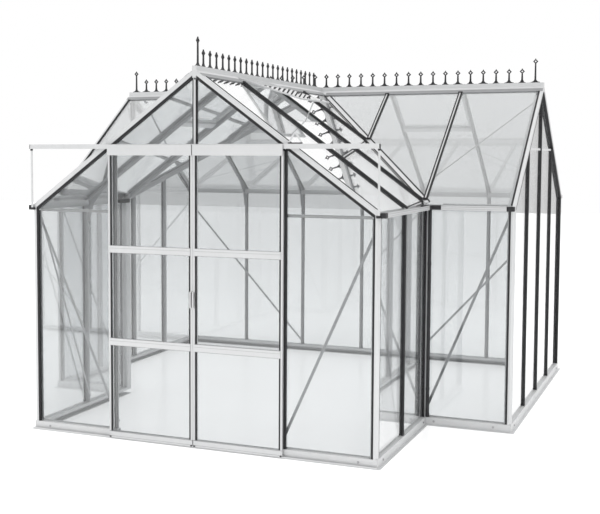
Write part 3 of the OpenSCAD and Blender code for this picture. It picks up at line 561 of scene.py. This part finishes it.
cresting = {
    "step": 0.1048, "stem": 0.0116, "thick": 0.0088, "spear": 0.118, "finial": 0.195,
    "head": 0.0205, "hole": 0.0084, "wideFoot": 0.0375, "smallFoot": 0.0270,
    "soleHigh": 0.0045, "waistHigh": 0.0085, "neckHigh": 0.0150, "footHigh": 0.026,
    "strip": 0.0016, "stripEase": 0.0004, "tip": 0.005, "tipHalf": 0.0042, "tipDeep": 0.003,
    "frontSpear": 0.018, "stripFrom": 0.060, "beforeCross": 0.040, "lastSpear": 0.038,
}


def spear(bm, height, footHalf, place):
    # an open diamond on a stem with a flared foot and a small point
    c = cresting
    r, t, stem = c["head"], c["thick"], c["stem"]
    middle = height - c["tip"] - r
    outer = bmesh.ops.create_circle(bm, cap_ends=False, segments=4, radius=r)["verts"]
    inner = bmesh.ops.create_circle(bm, cap_ends=False, segments=4, radius=c["hole"])["verts"]
    bmesh.ops.translate(bm, verts=outer + inner, vec=(0, middle, -t / 2))
    rims = list({e for v in outer + inner for e in v.link_edges})
    faces = bmesh.ops.bridge_loops(bm, edges=rims)["faces"]
    side = [(footHalf, 0), (footHalf, c["soleHigh"]), (footHalf * 0.58, c["waistHigh"]),
            (stem * 1.10, c["neckHigh"]), (stem * 0.62, c["footHigh"]),
            (stem * 0.46, middle - r + 0.004)]
    profile = side + [(-x, z) for x, z in reversed(side)]
    shaft = [bm.verts.new((x, z, -t / 2)) for x, z in profile]
    faces.append(bm.faces.new(shaft))
    low = height - c["tip"] - c["tipDeep"]
    corners = ((-c["tipHalf"], low), (c["tipHalf"], low), (0, height))
    point = [bm.verts.new((x, z, -t / 2)) for x, z in corners]
    faces.append(bm.faces.new(point))
    grown = bmesh.ops.extrude_face_region(bm, geom=faces)["geom"]
    moved = [v for v in grown if isinstance(v, bmesh.types.BMVert)]
    bmesh.ops.translate(bm, verts=moved, vec=(0, 0, t))
    everything = outer + inner + shaft + point + moved
    bmesh.ops.transform(bm, verts=everything, matrix=place)


def makeCresting():
    c = cresting
    top, feet = house["ridgeTop"], (c["wideFoot"], c["smallFoot"])
    cross = panel((0, crossY, top), (1, 0, 0), upright, (0, -1, 0))
    porch = panel((0, 0, top), (0, 1, 0), upright, (1, 0, 0))
    count = floor(wing / c["step"] - 0.25)
    row = bmesh.new()

    def rib(start, end, place):
        block(row, (start, 0, -c["thick"] / 2), (end, c["strip"], c["thick"] / 2), place,
              c["stripEase"], 1)

    for i in range(-count, count):
        at = Matrix.Translation(((i + 0.5) * c["step"], 0, 0))
        spear(row, c["spear"], feet[(i + count) % 2], cross @ at)
    reach = (count + 0.5) * c["step"] - c["wideFoot"] - 0.001
    rib(-reach, reach, cross)
    last = crossY - c["beforeCross"]
    for i in range(1, floor((last - c["lastSpear"]) / c["step"]) + 1):
        spear(row, c["spear"], feet[i % 2], porch @ Matrix.Translation((i * c["step"], 0, 0)))
    rib(c["stripFrom"], last, porch)
    piece("cresting", row, "plastic", replaced=["ridge_cresting"])
    tall = bmesh.new()
    spear(tall, c["finial"], c["wideFoot"], porch @ Matrix.Translation((c["frontSpear"], 0, 0)))
    for side in (-1, 1):
        at = side * (count + 0.5) * c["step"]
        spear(tall, c["finial"], c["wideFoot"], cross @ Matrix.Translation((at, 0, 0)))
    piece("finials", tall, "plastic", replaced=["gable_finials"])


makeCresting()
print("cresting made")

# doors: dark gaskets on the stiles, a meeting bead, groove lines of painted shade, feet and fascia ends

doors = {
    "stile": 0.026, "edge": 0.013, "step": 0.008, "proud": 0.0016, "gap": 0.0004,
    "midRails": (0.686, 1.330), "midHigh": 0.050, "footTop": 0.056, "topRail": 1.974,
    "panes": ((0.0565, 0.6605), (0.7115, 1.3045), (1.3555, 1.9735)),
    "gasketEase": 0.0005, "bead": (0.0012, 0.016, 0.0012, 0.001),  # past, deep, under, ease
    "groove": 0.0022, "grooveFrom": 0.52, "grooves": (0.0005, 0.0056),
    "midLine": (0.0060, 0.0075, 0.0045, 0.0054),  # foot, top, inner and outer face
    "footLine": (0.0215, 0.0232), "fasciaLines": (0.020, 0.052), "fasciaLine": 0.0016,
    "foot": (0.0122, 0.021), "footWide": 0.013, "pin": (0.0024, 0.002, 0.0166),  # radius, depth, z
    "cap": (0.005, 0.001, 0.071, 0.004, 0.0012),  # wide, foot, top, deep, proud
}


def doorTrim(side):
    d = doors
    body = "right_door" if side > 0 else "left_door"
    front = panel((0, 0, 0), (side, 0, 0), upright, (0, -1, 0))
    x0 = house["leafGap"] / 2
    x1 = x0 + house["leafWide"]
    out = house["leafOut"]
    dark, grey, feet, caps = bmesh.new(), bmesh.new(), bmesh.new(), bmesh.new()
    step = out - d["step"]
    inner, stile = d["edge"] + d["gap"], d["stile"]
    for a, b in ((x0 + inner, x0 + stile), (x1 - stile, x1 - inner)):
        for za, zb in d["panes"]:
            block(dark, (a, za, step - 0.0005), (b, zb, step + d["proud"]), front, d["gasketEase"])
    piece(body + "_gaskets", dark, "rubber", body)
    if side < 0:
        bead = bmesh.new()
        past, deep, under, ease = d["bead"]
        block(bead, (-past, d["footTop"], out - deep),
              (x0 + d["gap"], d["panes"][2][1], out - under), front, ease)
        piece("meeting_bead", bead, "satin", body)
    # dark strips laid on the rails and fascia: painted shade for the grooves and for the line above the
    # foot rail
    inset, edge = stile * d["grooveFrom"], d["groove"]
    low, high = d["grooves"]
    lineFoot, lineTop, lineLow, lineHigh = d["midLine"]
    for z in d["midRails"]:
        for zz in (z - d["midHigh"] / 2, z + d["midHigh"] / 2):
            block(grey, (x0 + inset, zz - edge / 2, out + low),
                  (x1 - inset, zz + edge / 2, out + high), front, 0.0004)
        block(grey, (x0 + inset, z + lineFoot, out + lineLow),
              (x1 - inset, z + lineTop, out + lineHigh), front, 0.0002, 1)
    block(grey, (x0 + 0.001, d["footTop"] - 0.0030, out - 0.0005),
          (x1 - 0.001, d["footTop"] + 0.0006, out + 0.0010), front, 0.0004)
    block(grey, (x0 + 0.001, d["footLine"][0], out - 0.0005),
          (x1 - 0.001, d["footLine"][1], out + 0.0008), front, 0.0003, 1)
    top, fascia = d["topRail"], house["fascia"]
    for z in d["fasciaLines"]:
        block(grey, (x0 + 0.002, top + z, fascia - 0.0010),
              (x1 - 0.002, top + z + d["fasciaLine"], fascia + 0.0006), front, 0.0003, 1)
    piece(body + "_grooves", grey, "shade", body)
    footLow, footHigh = d["foot"]
    radius, depth, pinHigh = d["pin"]
    for x in (x0 + 0.002, x1 - 0.002 - d["footWide"]):
        block(feet, (x, footLow, out - 0.001), (x + d["footWide"], footHigh, out + 0.0040),
              front, 0.002)
        pin = Matrix.Translation((x + d["footWide"] / 2, pinHigh, out + 0.0038))
        rod(feet, radius, depth, front @ pin, 8)
    piece(body + "_feet", feet, "plastic", body)
    wide, capLow, capHigh, deep, proud = d["cap"]
    for x in (x0 - d["gap"], x1 - 0.0046):
        block(caps, (x, top + capLow, fascia - deep), (x + wide, top + capHigh, fascia + proud),
              front, 0.0008)
    piece(body + "_fascia_ends", caps, "greyRubber", body)


for side in (-1, 1):
    doorTrim(side)
print("doors trimmed")

# rail: end stops, the struts' caps and feet, and the pointed plate on the right

rail = {
    "half": 1.284, "in": 0.048, "out": 0.068, "past": 0.0012, "stop": 0.004, "ease": 0.002,
    "strutWide": 0.0155, "footWide": 0.024, "footLow": 1.586, "footHigh": 1.604, "footIn": 0.037,
    "plateFrom": 0.680, "plateTo": 0.768, "plateHigh": 0.070, "padHigh": 0.008, "padOver": 0.004,
    "padIn": 0.0500, "padOut": 0.0660, "armHalf": 0.005, "armIn": 0.0540, "armOut": 0.0620,
}


def railTrim():
    r = rail
    z, end = house["railUnder"], r["half"]
    front = panel((0, 0, 0), (1, 0, 0), upright, (0, -1, 0))
    stops, plates, feet = bmesh.new(), bmesh.new(), bmesh.new()
    for side in (-1, 1):
        turned = front @ Matrix.Scale(side, 4, (1, 0, 0))
        block(stops, (end - r["stop"], z + 0.001, r["in"] - 0.0008),
              (end + r["past"], z + house["railHigh"] - 0.001, r["out"] + 0.0008), turned,
              r["ease"])
        block(stops, (end - r["strutWide"], z - 0.012, r["in"] - r["past"]),
              (end + r["past"], z + 0.001, r["in"] + 0.010), turned, r["ease"])
        block(stops, (end - r["footWide"], r["footLow"], r["footIn"]),
              (end + r["past"], r["footHigh"], r["in"] + 0.0072), turned, 0.003)
    # the pointed plate stands on the rail's right half only
    a, b, low = r["plateFrom"], r["plateTo"], z + house["railHigh"]
    high = low + r["plateHigh"]
    block(feet, (a - r["padOver"], low, r["padIn"]),
          (b + r["padOver"], low + r["padHigh"], r["padOut"]), front, 0.0015)
    for start, stop in ((a, (a + b) / 2), (b, (a + b) / 2)):
        arm = Vector((stop - start, high - low, 0))
        along = arm.normalized()
        axes = (Vector((along.y, -along.x, 0)), along, Vector((0, 0, 1)))
        foot = Matrix.Translation((start, low + 0.006, 0))
        place = front @ (foot @ Matrix(axes).transposed().to_4x4())
        block(plates, (-r["armHalf"], 0, r["armIn"]),
              (r["armHalf"], arm.length - 0.006, r["armOut"]), place, 0.001)
    piece("rail_stops", stops, "plastic")
    piece("rail_plate_feet", feet, "rubber")
    piece("rail_plates", plates, "satin")


railTrim()

# gutters: groove lines of painted shade, and the pipes' brackets

gutterLines = {"low": 0.0085, "lowDeep": 0.0016, "high": 0.0100, "highDeep": 0.0022,
               "end": 0.020, "corner": 0.142}
brackets = {"heights": (0.262, 1.180), "radius": 0.0148, "depth": 0.022, "ease": 0.0015,
            "armHalf": 0.006, "armLow": 0.004, "armHigh": 0.018, "armIn": 0.0385,
            "armOut": 0.045, "shoe": (0.0150, 0.030, 0.064, 0.003)}  # radius, depth, z, ease


def gutterTrim():
    g, b = gutterLines, brackets
    lines, holders = bmesh.new(), bmesh.new()
    out = house["gutterOut"]
    low, high = gutterUnder + g["low"], house["eave"] + house["gutterLip"] - g["high"]
    end, corner = g["end"], g["corner"]
    spans = [("porchRight", end, half - corner), ("porchLeft", end, half - corner),
             ("notchRight", corner, pitch - end), ("notchLeft", corner, pitch - end),
             ("back", end, 2 * wing - end)]
    # dark strips along the gutter faces: painted shade for the grooves
    for name, start, stop in spans:
        for z, deep in ((low, g["lowDeep"]), (high, g["highDeep"])):
            block(lines, (start, z, out - 0.0010), (stop, z + deep, out + 0.0005),
                  walls[name], 0.0003, 1)
    piece("gutter_grooves", lines, "shade")
    upwards = Matrix.Rotation(-pi / 2, 4, "X")
    across, away = house["pipeAcross"], house["pipeOut"]
    shoeRadius, shoeDepth, shoeLow, shoeEase = b["shoe"]
    for side in ("notchRight", "notchLeft"):
        here = walls[side]
        for z in b["heights"]:
            ring = here @ Matrix.Translation((across, z, away)) @ upwards
            rod(holders, b["radius"], b["depth"], ring, 24, b["ease"])
            block(holders, (across - b["armHalf"], z + b["armLow"], b["armIn"]),
                  (across + b["armHalf"], z + b["armHigh"], b["armOut"]), here, 0.001)
        shoe = here @ Matrix.Translation((across, shoeLow, away)) @ upwards
        rod(holders, shoeRadius, shoeDepth, shoe, 24, shoeEase)
    piece("pipe_brackets", holders, "plastic")


gutterTrim()
print("gutters and rail trimmed")

# bolts on the posts, bars, plates, braces and base

bolts = {
    "radius": 0.0055, "high": 0.0042, "washer": 0.0085, "thin": 0.0012, "ease": 0.0006,
    "proud": 0.0002, "baseHigh": 0.030, "braceFoot": 0.110, "braceTop": 1.480,
    "backTop": 1.450, "braceIn": 0.010, "plate": 0.0072,
    "kneeBar": ((0.016, 0.030), (0.018, 0.090)), "kneeRafter": ((0.060, 0.030), (0.125, 0.028)),
}


def bolt(bm, place):
    b = bolts
    rod(bm, b["washer"], b["thin"], place, 12)
    rod(bm, b["radius"], b["high"], place @ Matrix.Translation((0, 0, b["thin"])), 6, b["ease"])


def baseBolts(bm):
    out = house["faceOut"] + bolts["proud"]
    ends = [(name, 0.090, length - 0.090) for name, length in (
        ("front", 2 * half), ("endRight", 2 * half), ("endLeft", 2 * half), ("back", 2 * wing))]
    ends += [(name, 0.10, pitch - 0.09) for name in ("notchRight", "notchLeft")]
    ends += [(name, 0.09, half - 0.10) for name in ("porchRight", "porchLeft")]
    for name, first, last in ends:
        for x in (first, last):
            bolt(bm, walls[name] @ Matrix.Translation((x, bolts["baseHigh"], out)))


def braceBolts(bm):
    # the braces' ends, on their inner side
    b = bolts
    inward = Matrix.Rotation(pi, 4, "Y")
    depth = -house["webIn"] - b["proud"]
    twin = walls["front"] @ Matrix.Translation((2 * half, 0, 0)) @ Matrix.Scale(-1, 4, (1, 0, 0))
    braces = [(walls["front"], pitch, b["braceTop"]), (walls["porchRight"], pitch, b["braceTop"]),
              (walls["porchLeft"], pitch, b["braceTop"]), (walls["back"], 2 * pitch, b["backTop"]),
              (twin, pitch, b["braceTop"])]
    for place, foot, top in braces:
        for x, z in ((foot, b["braceFoot"]), (b["braceIn"], top)):
            bolt(bm, place @ Matrix.Translation((x, z, depth)) @ inward)


def kneeBolts(bm):
    # two bolts on the bar and two on the rafter
    b = bolts
    spots = [(half - u, gutterUnder - drop) for u, drop in b["kneeBar"]]
    spots += [(half - u, under(half - u) - drop) for u, drop in b["kneeRafter"]]
    for side in (1, -1):
        for u, z in spots:
            bolt(bm, panel((side * u, pitch + b["plate"], z), (side, 0, 0), upright, (0, 1, 0)))
    for i in range(-2, 3):
        for u, z in spots:
            across = i * pitch - b["plate"]
            bolt(bm, panel((across, crossY + u, z), (0, 1, 0), upright, (-1, 0, 0)))


def makeBolts():
    bm = bmesh.new()
    baseBolts(bm)
    braceBolts(bm)
    kneeBolts(bm)
    piece("bolts", bm, "bolt")


makeBolts()
print("bolts made")

# studio

view = {"lens": 64.77, "sensor": 36.0, "shift": (0.0923, -0.0418),
        "place": (3.159, -6.515, 1.972), "turn": (90 - 4.029, -0.116, 23.332)}


def makeCamera():
    data = bpy.data.cameras.new("camera")
    data.lens, data.sensor_width = view["lens"], view["sensor"]
    data.shift_x, data.shift_y = view["shift"]
    data.clip_start, data.clip_end = 0.1, 200
    camera = bpy.data.objects.new("camera", data)
    camera.location = Vector(view["place"]) + Vector((0, gridY, 0))
    camera.rotation_euler = [radians(angle) for angle in view["turn"]]
    bpy.context.scene.collection.objects.link(camera)
    bpy.context.scene.camera = camera


studio = {
    "room": 1.20, "bounces": 10, "clearBounces": 40,
    "levels": ((0.0, 0.60), (0.12, 0.64), (0.28, 0.95), (0.62, 1.0), (0.80, 1.0), (0.95, 0.86)),
    "floor": 30, "floorTones": (0.90, 0.93), "floorRough": 0.20, "floorShine": 0.16,
    "floorGlow": 0.34,
    "lamps": (("key", (-5, -7, 7), (0, 0, 0.8), 120, 5.0),
              ("fill", (7, -3, 5), (0, 0, 1.0), 50, 5.0),
              ("top", (0, 1, 9), (0, 0, 0), 220, 8.0)),  # place, aim, watts, size
}


def makeStudio():
    # a white room that the metal and glass see as a soft grey horizon under a bright ceiling
    scene = bpy.context.scene
    scene.view_settings.view_transform = "Standard"
    scene.cycles.transparent_max_bounces = studio["clearBounces"]
    scene.cycles.max_bounces = studio["bounces"]
    world = bpy.data.worlds.new("studio")
    scene.world = world
    room = Finish(world)
    way = room.node("ShaderNodeTexCoord")
    rise = room.node("ShaderNodeSeparateXYZ", {}, {0: way}, output=2)
    tone = studio["room"] * room.node("ShaderNodeValToRGB", {"stops": [
        (place, (level, level, level)) for place, level in studio["levels"]]}, {0: rise})
    seen = room.node("ShaderNodeLightPath")
    strength = tone + seen * (1.0 - tone)
    made = room.node("ShaderNodeBackground", {}, {"Color": rgb(1, 1, 1), "Strength": strength})
    room.node("ShaderNodeOutputWorld", {}, {"Surface": made})
    bm = bmesh.new()
    bmesh.ops.create_grid(bm, x_segments=2, y_segments=2, size=studio["floor"])
    mesh = bpy.data.meshes.new("floor")
    bm.to_mesh(mesh)
    bm.free()
    f = newFinish("studio_floor")
    dull, bright = studio["floorTones"]
    tone = f.blend(f.noise(0.6), rgb(dull, dull, dull), rgb(bright, bright, bright))
    mesh.materials.append(f.close(f.node("ShaderNodeBsdfPrincipled", {}, {
        "Base Color": tone, "Roughness": studio["floorRough"],
        "Specular IOR Level": studio["floorShine"], "Emission Color": rgb(1, 1, 1),
        "Emission Strength": studio["floorGlow"]})))
    ground = bpy.data.objects.new("floor", mesh)
    scene.collection.objects.link(ground)
    for name, place, aim, power, size in studio["lamps"]:
        data = bpy.data.lights.new(name, "AREA")
        data.energy, data.size = power, size
        lamp = bpy.data.objects.new(name, data)
        lamp.location = place
        lamp.visible_glossy = False
        lamp.rotation_mode = "QUATERNION"
        lamp.rotation_quaternion = (Vector(aim) - Vector(place)).to_track_quat("-Z", "Y")
        scene.collection.objects.link(lamp)


makeCamera()
makeStudio()
print("studio made")
